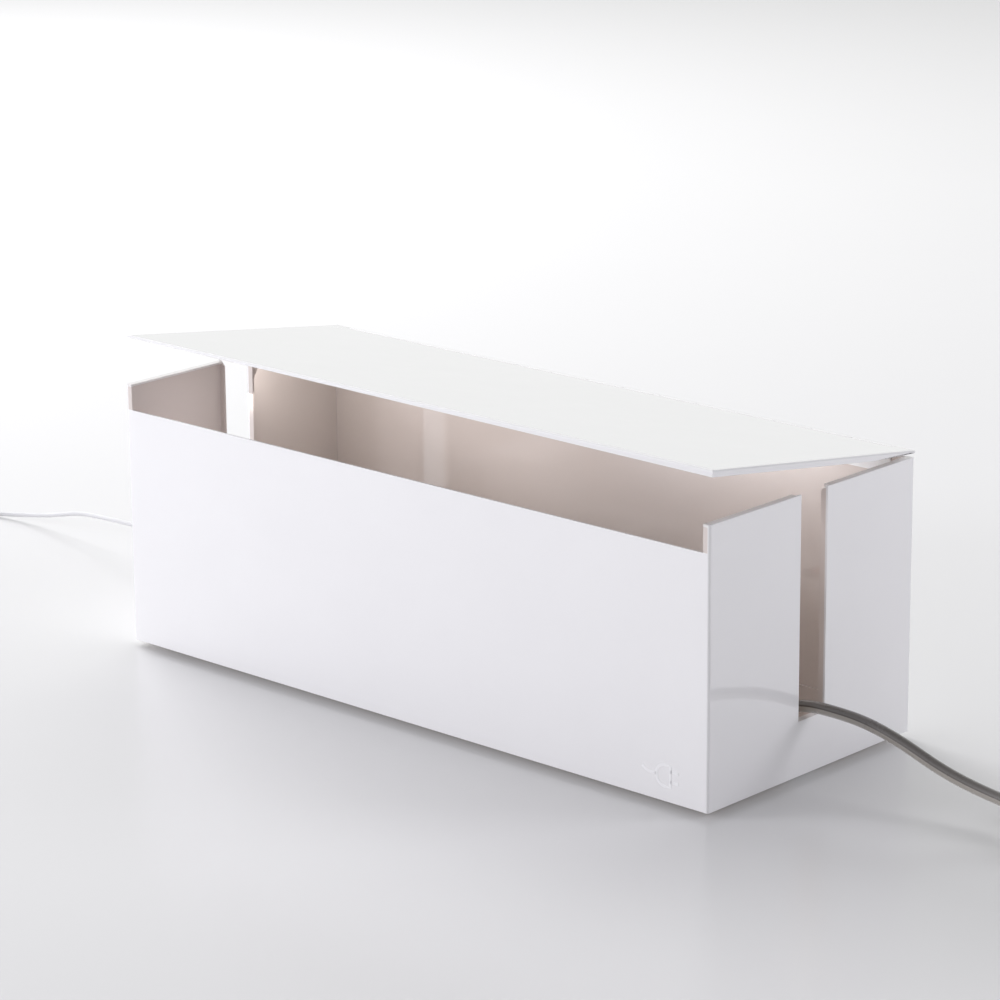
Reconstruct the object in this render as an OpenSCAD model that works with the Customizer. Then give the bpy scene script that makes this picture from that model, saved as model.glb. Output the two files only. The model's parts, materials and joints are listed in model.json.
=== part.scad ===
// Cable tray: a folded steel box with a hinged lid, holding a power strip and a small charger.
// Millimetres, +Z up. Origin on the standing surface under the middle of the box; the front is -Y.

/* [Box] */
// Length of the box along X
box_l = 400; // [380:5:480]
// Depth of the box, front to back
box_w = 156; // [140:2:190]
// Height of the end walls and the back panel
wall_h = 142; // [135:1:170]
// How far the front panel's top stops below the end walls
front_drop = 14; // [8:1:24]
// Sheet thickness of all the steel panels
sheet_t = 1.2; // [1:0.1:1.4]
// Outside radius of the two folded front corners
bend_r = 1.4; // [1.3:0.1:3]
// Depth of the return flanges around the free edges of the end walls
flange_d = 4.2; // [3:0.1:6]
// Height of the weld flanges on the base plate
base_flange_h = 10; // [6:1:14]

/* [Cable slots] */
// Width of the cable slot in each end wall
slot_w = 20; // [14:1:30]
// Height of the slot's sill above the box's bottom edge
slot_sill = 28.2; // [16:0.1:32]
// How far the slot flanges' top ends drop at their mitre
mitre_drop = 2.9; // [1:0.1:4]

/* [Feet] */
// Height of the silicone feet
foot_h = 3; // [2:0.5:5]
// Radius of the silicone feet
foot_r = 6; // [4:0.5:8]
// Distance of a foot's centre from the box's end
foot_in_x = 22; // [7.5:0.5:50]
// Distance of a foot's centre from the front or back face
foot_in_y = 21.5; // [7.5:0.5:38]

/* [Lid] */
// How far the lid stands open, in degrees from closed
lid_open = 8.4; // [0:0.1:100]
// Height of the lid's skirt, sheet included
lid_skirt = 3.4; // [3.4:0.1:6]
// How far the lid's rear corners reach past the back panel
lid_rear = 1; // [0:0.1:1.2]

/* [Hinge] */
// Outside radius of the hinge knuckles
knuckle_r = 1.7; // [1.6:0.05:1.8]
// Radius of the hinge pin
pin_r = 0.9; // [0.7:0.05:1]
// Radial running clearance of the lid's knuckles on the pin
pin_play = 0.05; // [0.02:0.01:0.1]
// Thickness of the hinge leaves
leaf_t = 0.8; // [0.6:0.1:0.8]
// Height of the fixed leaf below the back panel's top
leaf_h = 10.3; // [8:0.1:16]
// How far the hinge stops short of the box's ends
hinge_in = 13; // [13:1:40]
// Pitch of the hinge knuckles
knuckle_pitch = 22; // [15:1:40]

/* [Power strip] */
// Length of the power strip
strip_l = 280; // [270:2:290]
// Width of the power strip
strip_w = 52; // [50:1:60]
// Height of the power strip
strip_h = 40; // [38:1:44]
// Wall thickness of the strip's moulded case
strip_t = 2; // [1.6:0.1:2.4]
// Pitch of the four outlets
outlet_pitch = 50; // [46:1:52]

/* [Leads] */
// Diameter of the mains lead
mains_d = 6; // [5.6:0.1:7.2]
// Diameter of the device lead
device_d = 2.6; // [2.2:0.1:3]

/* [Hidden] */
$fn = 48;
half_l = box_l / 2;
half_w = box_w / 2;
base_z = foot_h;
wall_top = base_z + wall_h;
front_top = wall_top - front_drop;
sill_z = base_z + slot_sill;
in_x = half_l - sheet_t;
in_y = half_w - sheet_t;
slot_y = slot_w / 2;

leaf_y = in_y - leaf_t;
axis_y = leaf_y + knuckle_r;
axis_z = wall_top + knuckle_r + 0.1;
lid_under = axis_z + leaf_t / 2;
lid_top = lid_under + sheet_t;
lid_edge = leaf_y - 0.4;
skirt_z = lid_top - lid_skirt;
hinge_x = half_l - hinge_in;
knuckles = 2 * floor(hinge_x / knuckle_pitch) - 1;
knuckle_l = 2 * hinge_x / knuckles;

strip_z = base_z + sheet_t;
strip_top = strip_z + strip_h;
strip_x0 = -152;
strip_x1 = strip_x0 + strip_l;
strip_y = strip_w / 2;
split_z = strip_z + 16;
outlet_x = [for (i = [0:3]) strip_x0 + 32 + i * outlet_pitch];
bar_x0 = strip_x0 + 12;
bar_x1 = strip_x0 + 222;
pin_y = 9.5;
relief_z = strip_z + 22;
relief_l = 30;
rocker_x = strip_x1 - 38;
rocker_z = strip_top - 4;
rocker_tilt = 8;

charger_x = outlet_x[0];
port_z = strip_top + 18;

mains_r = mains_d / 2;
coil_x = half_l + 220;
coil_y = -12;
coil_mid = 37;
coil_z = 0.8;
plug_y = 36;
plug_r = 13.2;
plug_x = half_l + 132;
mains_route = [
    [half_l - 42, 0, relief_z],
    [half_l - 28, 0, 28],
    [half_l - 14, 0, 33.4],
    [half_l, 0, 36.5],
    [half_l + 15, 0, 36.8],
    [half_l + 30, 0, 36.1],
    [half_l + 45, 0, 33.3],
    [half_l + 60, 0, 28.9],
    [half_l + 75, 0.6, 23.2],
    [half_l + 90, 1.6, 18.9],
    [half_l + 105, 2.4, 16],
    [half_l + 120, 1.6, 14.4],
    [half_l + 135, -3.5, 11.4],
    [half_l + 150, -12.5, 8],
    [half_l + 165, -24, 5],
    [half_l + 182, -38, 3.9],
    [half_l + 198, -47.5, 3.9]
];
tail_route = [
    [half_l + 222, 30, 8],
    [half_l + 214, 30.5, 9.5],
    [half_l + 206, 32.5, 11.5],
    [half_l + 198, 35, 12.8],
    [half_l + 192, plug_y, plug_r]
];

device_r = device_d / 2;
thin_x = -half_l - 294;
thin_y = 5;
thin_mid = 16;
thin_z = 0.6;
device_route = [
    [charger_x - 40, 0, port_z],
    [charger_x - 50, 0, 60.5],
    [charger_x - 58, 0, 55],
    [charger_x - 64, 0, 46],
    [charger_x - 70, 0, 38.4],
    [-half_l + 2, 0, 33.4],
    [-half_l - 10, 0.5, 32.4],
    [-half_l - 30, 3, 30.9],
    [-half_l - 55, 7, 29],
    [-half_l - 82, 12, 27.4],
    [-half_l - 110, 16.6, 25.5],
    [-half_l - 138, 22.7, 22],
    [-half_l - 164, 28.6, 18],
    [-half_l - 188, 31.8, 12],
    [-half_l - 204, 34, 8],
    [-half_l - 220, 35, 5],
    [-half_l - 233, 34, 3],
    [-half_l - 243, 31.7, 2],
    [-half_l - 255, 24, 2],
    [-half_l - 266, 13, 2],
    [-half_l - 274, 3, 2],
    [-half_l - 280, -5, 2]
];
device_tail_route = [
    [-half_l - 312, 4, 4],
    [-half_l - 312.5, 12, 4],
    [-half_l - 313, 20, 3.6],
    [-half_l - 313, 28, 3.3]
];
tip_y = 28;

// A block between two corners.
module block(a, b) {
    translate(a) cube(b - a);
}

// A round rod along X.
module rod_x(x0, x1, y, z, r) {
    translate([x0, y, z]) rotate([0, 90, 0]) cylinder(h = x1 - x0, r = r);
}

// A cone along X, r0 at x0 and r1 at x1.
module cone_x(x0, x1, y, z, r0, r1) {
    translate([x0, y, z]) rotate([0, 90, 0]) cylinder(h = x1 - x0, r1 = r0, r2 = r1);
}

// A round rod between two points.
module rod(a, b, r) {
    v = b - a;
    translate(a)
        rotate([0, acos(v[2] / norm(v)), atan2(v[1], v[0])])
            cylinder(h = norm(v), r = r);
}

// Puts a child that is drawn closed where the lid stands.
module opened() {
    translate([0, axis_y, axis_z])
        rotate([-lid_open, 0, 0])
            translate([0, -axis_y, -axis_z])
                children();
}

// A copy on both ends of the box.
module both_ends() {
    children();
    mirror([1, 0, 0]) children();
}

function unit(v) = v / norm(v);

function tangent(p, i) =
    unit(p[min(i + 1, len(p) - 1)] - p[max(i - 1, 0)]);

function ring(c, t, r, n) =
    let (s = unit(cross(t, [0, 0, 1])), u = cross(s, t))
    [for (k = [0:n - 1]) c + r * (cos(360 * k / n) * s + sin(360 * k / n) * u)];

function between(a, b, c, d, t) =
    0.5 * (2 * b + (c - a) * t + (2 * a - 5 * b + 4 * c - d) * t * t
        + (3 * b - a - 3 * c + d) * t * t * t);

function eased(p, m) = [
    for (i = [0:len(p) - 2], j = [0:m - 1])
        between(p[max(i - 1, 0)], p[i], p[i + 1], p[min(i + 2, len(p) - 1)], j / m),
    p[len(p) - 1]
];

// A tube of radius r swept along the points, with n sides.
module tube(p, r, n) {
    rings = len(p);
    points = [for (i = [0:rings - 1]) each ring(p[i], tangent(p, i), r, n)];
    sides = [
        for (i = [0:rings - 2], k = [0:n - 1])
            let (a = i * n + k, b = i * n + (k + 1) % n)
            each [[a, b, b + n], [a, b + n, a + n]]
    ];
    start = [for (k = [n - 1:-1:0]) k];
    end = [for (k = [0:n - 1]) (rings - 1) * n + k];
    polyhedron(points, concat([start], sides, [end]));
}

// One end wall with its folded corner, its slot and the return flanges on its free edges.
module end_wall() {
    lip_x = half_l - flange_d;
    difference() {
        union() {
            block([in_x, -half_w + bend_r, base_z], [half_l, half_w, wall_top]);
            translate([half_l - bend_r, -half_w + bend_r, base_z])
                rotate([0, 0, -90])
                    rotate_extrude(angle = 90)
                        translate([bend_r - sheet_t, 0])
                            square([sheet_t, wall_h]);
            block([lip_x, -half_w, front_top], [half_l - bend_r, -in_y, wall_top]);
            block([lip_x, -in_y, wall_top - sheet_t], [in_x, -slot_y, wall_top]);
            block([lip_x, slot_y, wall_top - sheet_t], [in_x, in_y, wall_top]);
            block(
                [lip_x, -slot_y - sheet_t, sill_z - sheet_t],
                [in_x, slot_y + sheet_t, wall_top]
            );
        }
        block([lip_x - 1, -slot_y, sill_z], [half_l + 1, slot_y, wall_top + 1]);
        for (side = [-1, 1])
            translate([0, side * (slot_y + sheet_t), 0])
                rotate([90, 0, 0])
                    translate([0, 0, -sheet_t - 0.05])
                        linear_extrude(height = 2 * sheet_t + 0.1)
                            polygon([
                                [lip_x - 1, wall_top + 1],
                                [lip_x - 1, wall_top - mitre_drop],
                                [lip_x, wall_top - mitre_drop],
                                [in_x, wall_top],
                                [in_x, wall_top + 1]
                            ]);
    }
}

// Front panel and both end walls, folded from one sheet.
module outer_wrap() {
    color([0.93, 0.93, 0.94]) {
        block(
            [-half_l + bend_r, -half_w, base_z],
            [half_l - bend_r, -in_y, front_top]
        );
        both_ends() end_wall();
    }
}

// Back panel, welded between the end walls.
module back_panel() {
    color([0.93, 0.93, 0.94])
        block([-in_x, in_y, base_z], [in_x, half_w, wall_top]);
}

// Base plate with its upturned weld flanges.
module base_plate() {
    corner = bend_r - sheet_t + 0.4;
    color([0.93, 0.93, 0.94]) {
        difference() {
            block([-in_x, -in_y, base_z], [in_x, in_y, base_z + sheet_t]);
            both_ends()
                block([in_x - corner, -in_y - 1, 0], [half_l, -in_y + corner, base_z + 9]);
        }
        for (s = [-1, 1])
            translate([0, s * (in_y - sheet_t / 2), 0])
                block(
                    [-in_x + 6, -sheet_t / 2, base_z],
                    [in_x - 6, sheet_t / 2, base_z + base_flange_h]
                );
    }
}

// Four silicone feet under the base plate.
module foot_pads() {
    color([0.85, 0.85, 0.83])
        for (sx = [-1, 1], sy = [-1, 1])
            translate([sx * (half_l - foot_in_x), sy * (half_w - foot_in_y), 0]) {
                cylinder(h = 0.8, r1 = foot_r - 0.8, r2 = foot_r);
                translate([0, 0, 0.8]) cylinder(h = foot_h - 0.8, r = foot_r);
            }
}

// Every second knuckle of the hinge, from the one numbered start.
module hinge_tubes(start, bore) {
    for (i = [start:2:knuckles - 1])
        difference() {
            rod_x(
                -hinge_x + i * knuckle_l + 0.15,
                -hinge_x + (i + 1) * knuckle_l - 0.15,
                axis_y, axis_z, knuckle_r
            );
            rod_x(-half_l, half_l, axis_y, axis_z, bore);
        }
}

// Hinge leaf on the inner face of the back panel, with its knuckles on the panel's top.
module hinge_fixed_leaf() {
    color([0.91, 0.91, 0.92]) {
        block([-hinge_x, leaf_y, wall_top - leaf_h], [hinge_x, in_y, wall_top - 0.1]);
        difference() {
            for (i = [0:2:knuckles - 1])
                block(
                    [-hinge_x + i * knuckle_l + 0.15, leaf_y, wall_top - 0.2],
                    [-hinge_x + (i + 1) * knuckle_l - 0.15, in_y, axis_z]
                );
            rod_x(-half_l, half_l, axis_y, axis_z, pin_r);
        }
        hinge_tubes(0, pin_r);
    }
}

// Hinge pin, fixed in the back panel's knuckles.
module hinge_pin() {
    color([0.62, 0.62, 0.64])
        rod_x(-hinge_x + 0.15, hinge_x - 0.15, axis_y, axis_z, pin_r);
}

// Lid: a sheet with a low skirt at the front and the ends.
module lid_panel() {
    rear = half_w + lid_rear;
    color([0.94, 0.94, 0.95])
        opened() {
            block([-half_l, -half_w, lid_under], [half_l, lid_edge, lid_top]);
            block([-half_l, -half_w, skirt_z], [half_l, -in_y, lid_under]);
            both_ends() {
                block([hinge_x + 0.6, lid_edge - 1, lid_under], [half_l, rear, lid_top]);
                translate([in_x, 0, 0])
                    rotate([90, 0, 90])
                        linear_extrude(height = sheet_t)
                            polygon([
                                [-half_w, skirt_z],
                                [lid_edge - 30, skirt_z],
                                [lid_edge, lid_under - 0.4],
                                [lid_edge, lid_under + 0.2],
                                [-half_w, lid_under + 0.2]
                            ]);
            }
        }
}

// Hinge leaf welded under the lid, with the knuckles that turn on the pin.
module hinge_lid_leaf() {
    color([0.91, 0.91, 0.92])
        opened() {
            block([-hinge_x, lid_edge - 12, lid_under - leaf_t], [hinge_x, lid_edge, lid_under]);
            difference() {
                for (i = [1:2:knuckles - 1])
                    block(
                        [-hinge_x + i * knuckle_l + 0.15, lid_edge - 1, lid_under - leaf_t],
                        [-hinge_x + (i + 1) * knuckle_l - 0.15, axis_y, lid_under]
                    );
                rod_x(-half_l, half_l, axis_y, axis_z, pin_r + pin_play);
            }
            hinge_tubes(1, pin_r + pin_play);
        }
}

// Where the four case screws stand.
module at_screws() {
    for (x = [strip_x0 + 6, strip_x1 - 6], y = [-19, 19])
        translate([x, y, 0]) children();
}

// Lower half of the power strip's case, with the ribs that carry the contact bars.
module strip_base() {
    color([0.90, 0.90, 0.89])
        difference() {
            union() {
                difference() {
                    block([strip_x0, -strip_y, strip_z], [strip_x1, strip_y, split_z]);
                    block(
                        [strip_x0 + strip_t, -strip_y + strip_t, strip_z + 3],
                        [strip_x1 - strip_t, strip_y - strip_t, split_z + 1]
                    );
                }
                for (x = [bar_x0 + 4, outlet_x[1] - 25, outlet_x[2] - 25, outlet_x[3] - 25, bar_x1 - 6])
                    block([x, -strip_y + 1, strip_z + 2], [x + 2, strip_y - 1, split_z - 2]);
            }
            block([bar_x0 - 2, -4, split_z - 8], [bar_x1 + 2, 4, split_z - 6]);
            at_screws() {
                translate([0, 0, strip_z - 1]) cylinder(h = 3, r = 3.1);
                translate([0, 0, strip_z - 1]) cylinder(h = 6, r = 1.5);
            }
        }
}

// Upper half of the power strip's case.
module strip_cover() {
    color([0.94, 0.94, 0.93])
        difference() {
            union() {
                difference() {
                    block([strip_x0, -strip_y, split_z], [strip_x1, strip_y, strip_top]);
                    block(
                        [strip_x0 + strip_t, -strip_y + strip_t, split_z - 1],
                        [strip_x1 - strip_t, strip_y - strip_t, strip_top - 2.5]
                    );
                }
                at_screws()
                    translate([0, 0, strip_z + 3]) cylinder(h = strip_h - 4, r = 3.5);
            }
            for (x = outlet_x)
                translate([x, 0, split_z]) cylinder(h = strip_h, r = 20);
            block(
                [rocker_x - 10, -8, strip_top - 5],
                [rocker_x + 10, 8, strip_top + 1]
            );
            rod_x(strip_x1 - 4, strip_x1 + 1, 0, relief_z, 5);
            at_screws()
                translate([0, 0, strip_z + 2]) cylinder(h = 19, r = 1.4);
        }
}

// Four outlet inserts with a round recess and two contact holes.
module socket_inserts() {
    color([0.86, 0.86, 0.85])
        for (x = outlet_x)
            translate([x, 0, 0])
                difference() {
                    translate([0, 0, strip_top - 20]) cylinder(h = 20, r = 20);
                    translate([0, 0, strip_top - 16]) cylinder(h = 17, r = 17.5);
                    for (y = [-pin_y, pin_y])
                        translate([0, y, strip_top - 21]) cylinder(h = 9, r = 2.6);
                }
}

// One contact bar with a hole under each outlet's contact.
module contact_bar(y) {
    color([0.83, 0.66, 0.36])
        difference() {
            block([bar_x0, y - 4, split_z - 2], [bar_x1, y + 4, split_z + 1]);
            for (x = outlet_x)
                translate([x, y, split_z - 3]) cylinder(h = 6, r = 2.45);
        }
}

module live_bar() {
    contact_bar(-pin_y);
}

module neutral_bar() {
    contact_bar(pin_y);
}

// Earth bar in the slots of the case ribs.
module earth_bar() {
    color([0.83, 0.66, 0.36])
        block([bar_x0, -4, split_z - 8], [bar_x1, 4, split_z - 6]);
}

module live_wire() {
    color([0.45, 0.26, 0.15])
        rod([strip_x1 - 6.5, -3, relief_z], [bar_x1, -pin_y, split_z - 0.5], 1.1);
}

module neutral_wire() {
    color([0.18, 0.32, 0.62])
        rod([strip_x1 - 6.5, 3, relief_z], [bar_x1, pin_y, split_z - 0.5], 1.1);
}

module earth_wire() {
    color([0.30, 0.55, 0.22])
        rod([strip_x1 - 6.5, 0, relief_z - 3], [bar_x1, 0, split_z - 7], 1.0);
}

// Four screws that hold the strip's case together from below.
module strip_screws() {
    color([0.66, 0.66, 0.68])
        at_screws() {
            translate([0, 0, strip_z + 0.2]) cylinder(h = 1.8, r = 3);
            translate([0, 0, strip_z + 1]) cylinder(h = 17, r = 1.4);
        }
}

// Bezel that carries the rocker switch.
module switch_frame() {
    color([0.12, 0.12, 0.13])
        difference() {
            union() {
                block([rocker_x - 10, -8, strip_top - 12], [rocker_x + 10, 8, strip_top]);
                block([rocker_x - 12, -10, strip_top], [rocker_x + 12, 10, strip_top + 1.5]);
            }
            block([rocker_x - 8.5, -6.2, strip_top - 10], [rocker_x + 8.5, 6.2, strip_top + 2]);
            translate([rocker_x, 0, rocker_z])
                rotate([90, 0, 0])
                    translate([0, 0, -7.4]) cylinder(h = 14.8, r = 1.26);
        }
}

// Rocker of the strip's switch, resting in its on position.
module switch_rocker() {
    color([0.62, 0.08, 0.06])
        translate([rocker_x, 0, rocker_z])
            rotate([0, rocker_tilt, 0]) {
                rotate([90, 0, 0]) {
                    translate([0, 0, -7.3]) cylinder(h = 14.6, r = 1.2);
                    translate([0, 0, -6])
                        linear_extrude(height = 12)
                            polygon([
                                [-7.4, 4.6 + 1.8],
                                [0, 4.6],
                                [7.4, 4.6 + 1.8],
                                [7.4, 1],
                                [2.6, -3],
                                [-2.6, -3],
                                [-7.4, 1]
                            ]);
                }
            }
}

// Strain relief of the mains lead, clipped into the strip's end.
module lead_relief() {
    color([0.24, 0.23, 0.23]) {
        rod_x(strip_x1 - 6, strip_x1 - strip_t, 0, relief_z, 7);
        rod_x(strip_x1 - strip_t, strip_x1, 0, relief_z, 5);
        cone_x(strip_x1, strip_x1 + relief_l, 0, relief_z, 6.6, 4.2);
    }
}

module mains_lead() {
    color([0.27, 0.26, 0.26]) tube(eased(mains_route, 2), mains_r, 12);
}

// A wound coil of lead: one closed ring, rows wide and layers high.
module wound_coil(x, y, z, mid, d, rows) {
    w = rows * d / 2;
    h = 1.86 * d;
    c = d * 0.3;
    translate([x, y, z])
        rotate_extrude($fn = 72)
            translate([mid, 0])
                polygon([
                    [-w + c, 0],
                    [w - c, 0],
                    [w, c],
                    [w, h - c],
                    [w - c, h],
                    [c - w, h],
                    [-w, h - c],
                    [-w, c]
                ]);
}

// A strap round the coil's section, pointing along an angle.
module coil_strap(x, y, mid, d, rows, t, wide, angle) {
    w = rows * d / 2;
    h = 1.86 * d;
    translate([x, y, 0])
        rotate([0, 0, angle])
            difference() {
                block([mid - w - t - 0.8, -wide / 2, 0], [mid + w + t + 0.3, wide / 2, h + 2 * t]);
                block([mid - w - 0.8, -wide, t], [mid + w + 0.3, wide, h + t]);
            }
}

module mains_lead_coil() {
    color([0.27, 0.26, 0.26])
        wound_coil(coil_x, coil_y, coil_z, coil_mid, mains_d, 3);
}

module mains_lead_tie() {
    color([0.13, 0.13, 0.14])
        coil_strap(coil_x, coil_y, coil_mid, mains_d, 3, coil_z, 12, -20);
}

module mains_lead_tail() {
    color([0.27, 0.26, 0.26]) tube(eased(tail_route, 2), mains_r, 12);
}

// Moulded mains plug with its own tapered strain relief, lying beside the coil.
module mains_plug() {
    color([0.24, 0.23, 0.23]) {
        rod_x(plug_x, plug_x + 22, plug_y, plug_r, plug_r);
        cone_x(plug_x + 22, plug_x + 34, plug_y, plug_r, plug_r, 8);
        cone_x(plug_x + 34, plug_x + 60, plug_y, plug_r, 7, 4.2);
    }
}

module mains_plug_pins() {
    color([0.80, 0.80, 0.82])
        for (y = [-pin_y, pin_y]) {
            rod_x(plug_x - 17.5, plug_x, plug_y + y, plug_r, 2.4);
            cone_x(plug_x - 19, plug_x - 17.5, plug_y + y, plug_r, 1.4, 2.4);
        }
}

// Small charger sitting in the first outlet, with its port facing the left slot.
module charger_body() {
    color([0.95, 0.95, 0.95])
        difference() {
            union() {
                translate([charger_x, 0, strip_top - 15]) cylinder(h = 15.5, r = 17);
                block([charger_x - 20, -20, strip_top], [charger_x + 20, 20, strip_top + 32]);
            }
            block(
                [charger_x - 21, -6.5, port_z - 3],
                [charger_x - 8, 6.5, port_z + 3]
            );
        }
}

module charger_pins() {
    color([0.80, 0.80, 0.82])
        for (y = [-pin_y, pin_y])
            translate([charger_x, y, 0]) {
                translate([0, 0, strip_top - 32.5]) cylinder(h = 17.5, r = 2.4);
                translate([0, 0, strip_top - 34]) cylinder(h = 1.5, r1 = 1.4, r2 = 2.4);
            }
}

// Metal shell of the charger's port.
module charger_port() {
    color([0.74, 0.74, 0.76])
        difference() {
            block([charger_x - 20, -6.5, port_z - 3], [charger_x - 8, 6.5, port_z + 3]);
            block([charger_x - 21, -6, port_z - 2.25], [charger_x - 8.4, 6, port_z + 2.25]);
        }
}

module device_plug_shell() {
    color([0.78, 0.78, 0.80])
        block([charger_x - 20, -6, port_z - 2.25], [charger_x - 9, 6, port_z + 2.25]);
}

module device_plug() {
    color([0.88, 0.88, 0.88]) {
        block([charger_x - 34, -7.5, port_z - 4], [charger_x - 20, 7.5, port_z + 4]);
        cone_x(charger_x - 40, charger_x - 34, 0, port_z, 1.8, 2.8);
    }
}

module device_lead() {
    color([0.80, 0.80, 0.80]) tube(eased(device_route, 3), device_r, 8);
}

module device_lead_coil() {
    color([0.80, 0.80, 0.80])
        wound_coil(thin_x, thin_y, thin_z, thin_mid, device_d, 4);
}

module device_lead_tie() {
    color([0.86, 0.86, 0.86])
        coil_strap(thin_x, thin_y, thin_mid, device_d, 4, thin_z, 6, 80);
}

module device_lead_tail() {
    color([0.80, 0.80, 0.80]) tube(eased(device_tail_route, 2), device_r, 8);
}

// Connector on the device lead's far end, lying beside its coil.
module device_connector() {
    x = -half_l - 313;
    color([0.88, 0.88, 0.88]) {
        translate([x, tip_y, 3.3]) rotate([-90, 0, 0]) cylinder(h = 6, r1 = 1.8, r2 = 2.6);
        block([x - 5.5, tip_y + 6, 0], [x + 5.5, tip_y + 26, 6.6]);
    }
}

module device_connector_shell() {
    x = -half_l - 313;
    color([0.78, 0.78, 0.80])
        block([x - 4.2, tip_y + 26, 2.05], [x + 4.2, tip_y + 32.6, 4.55]);
}

outer_wrap();
back_panel();
base_plate();
foot_pads();
hinge_fixed_leaf();
hinge_pin();
lid_panel();
hinge_lid_leaf();
strip_base();
strip_cover();
socket_inserts();
live_bar();
neutral_bar();
earth_bar();
live_wire();
neutral_wire();
earth_wire();
strip_screws();
switch_frame();
switch_rocker();
lead_relief();
mains_lead();
mains_lead_coil();
mains_lead_tie();
mains_lead_tail();
mains_plug();
mains_plug_pins();
charger_body();
charger_pins();
charger_port();
device_plug();
device_plug_shell();
device_lead();
device_lead_coil();
device_lead_tie();
device_lead_tail();
device_connector();
device_connector_shell();
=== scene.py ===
"""Cable tray with its power strip, charger and leads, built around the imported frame."""
import json
import math

import bmesh
import bpy
from mathutils import Matrix, Vector


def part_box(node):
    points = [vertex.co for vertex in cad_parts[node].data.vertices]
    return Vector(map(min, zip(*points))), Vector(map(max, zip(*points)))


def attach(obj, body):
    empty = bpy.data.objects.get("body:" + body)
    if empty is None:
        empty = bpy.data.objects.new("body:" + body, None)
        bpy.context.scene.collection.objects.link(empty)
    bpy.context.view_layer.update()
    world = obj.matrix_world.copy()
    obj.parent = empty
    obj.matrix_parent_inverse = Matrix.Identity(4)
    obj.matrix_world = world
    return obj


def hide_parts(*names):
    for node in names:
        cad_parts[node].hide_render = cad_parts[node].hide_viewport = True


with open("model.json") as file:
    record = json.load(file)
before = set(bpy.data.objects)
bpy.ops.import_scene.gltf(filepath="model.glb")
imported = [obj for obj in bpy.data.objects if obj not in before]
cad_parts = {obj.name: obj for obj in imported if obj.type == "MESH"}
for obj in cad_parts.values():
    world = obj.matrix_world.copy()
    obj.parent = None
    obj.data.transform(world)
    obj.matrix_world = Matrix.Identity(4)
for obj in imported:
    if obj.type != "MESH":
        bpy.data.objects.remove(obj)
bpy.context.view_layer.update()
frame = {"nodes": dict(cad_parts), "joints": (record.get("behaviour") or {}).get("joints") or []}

MM = 0.001
TAU = 2 * math.pi
scene = bpy.context.scene


# ---------------------------------------------------------------- camera
CAM_AZ, CAM_EL, CAM_ROLL = 42.7555, 16.2028, -0.4676    # degrees
CAM_DIST = 2.01018                                      # metres from the target
CAM_TARGET = Vector((-0.00393, 0.0, 0.10131))
CAM_LENS, CAM_SENSOR = 141.224, 36                      # millimetres
CAM_CLIP = (0.05, 60)


def make_camera():
    """The camera on a sphere round its target, az and el in degrees from the front."""
    az, el, roll = map(math.radians, (CAM_AZ, CAM_EL, CAM_ROLL))
    back = Vector((math.sin(az) * math.cos(el), -math.cos(az) * math.cos(el), math.sin(el)))
    right = (-back).cross(Vector((0, 0, 1))).normalized()
    up = right.cross(-back)
    x = right * math.cos(roll) + up * math.sin(roll)
    y = up * math.cos(roll) - right * math.sin(roll)
    data = bpy.data.cameras.new("camera")
    data.lens, data.sensor_width = CAM_LENS, CAM_SENSOR
    data.clip_start, data.clip_end = CAM_CLIP
    cam = bpy.data.objects.new("camera", data)
    scene.collection.objects.link(cam)
    m = Matrix((x, y, back)).transposed().to_4x4()
    m.translation = CAM_TARGET + back * CAM_DIST
    cam.matrix_world = m
    scene.camera = cam


make_camera()


# ---------------------------------------------------------------- helpers
WELD = 2e-6              # corners closer than this are one corner
FLAT_ANGLE = 0.6         # degrees: faces closer than this are one flat face


def link(name, mesh_or_curve):
    ob = bpy.data.objects.new(name, mesh_or_curve)
    scene.collection.objects.link(ob)
    return ob


def joint_named(name):
    return next(j for j in frame["joints"] if j["name"] == name)


def shade(mesh, angle=32):
    """Smooth shading with sharp edges above an angle."""
    bm = bmesh.new()
    bm.from_mesh(mesh)
    limit = math.radians(angle)
    for f in bm.faces:
        f.smooth = True
    for e in bm.edges:
        e.smooth = not (len(e.link_faces) != 2 or e.calc_face_angle(0) > limit)
    bm.to_mesh(mesh)
    bm.free()


def weld_copy(node):
    """A bmesh of a CAD node's shape with shared corners and flat faces joined up."""
    bm = bmesh.new()
    bm.from_mesh(frame["nodes"][node].data)
    bmesh.ops.remove_doubles(bm, verts=bm.verts, dist=WELD)
    bmesh.ops.dissolve_limit(
        bm, angle_limit=math.radians(FLAT_ANGLE), verts=bm.verts, edges=bm.edges
    )
    return bm


def soften(bm, width, segments=3, pick=None, angle=28):
    """Rounds the sharp edges that pick() accepts."""
    limit = math.radians(angle)
    edges = [
        e for e in bm.edges
        if len(e.link_faces) == 2 and e.calc_face_angle(0) > limit and (pick is None or pick(e))
    ]
    if edges:
        bmesh.ops.bevel(
            bm, geom=edges, offset=width, segments=segments, profile=0.5,
            affect="EDGES", clamp_overlap=True, loop_slide=True, harden_normals=False,
        )


def finish_mesh(bm, name, body, material, nodes=(), angle=32, weighted=True):
    """Turns a bmesh into a shown piece that rides on a body."""
    mesh = bpy.data.meshes.new(name)
    bmesh.ops.recalc_face_normals(bm, faces=bm.faces)
    bm.to_mesh(mesh)
    bm.free()
    shade(mesh, angle)
    ob = link(name, mesh)
    mesh.materials.append(material)
    if weighted:
        mod = ob.modifiers.new("normals", "WEIGHTED_NORMAL")
        mod.keep_sharp = True
        mod.weight = 80
    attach(ob, body)
    if nodes:
        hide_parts(*nodes)
    return ob


def refined(node, body, material, width, segments=3, angle=28):
    """A CAD node's shape with its edges rounded."""
    bm = weld_copy(node)
    soften(bm, width, segments, angle=angle)
    return finish_mesh(bm, node + "_body", body, material, [node])


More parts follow.
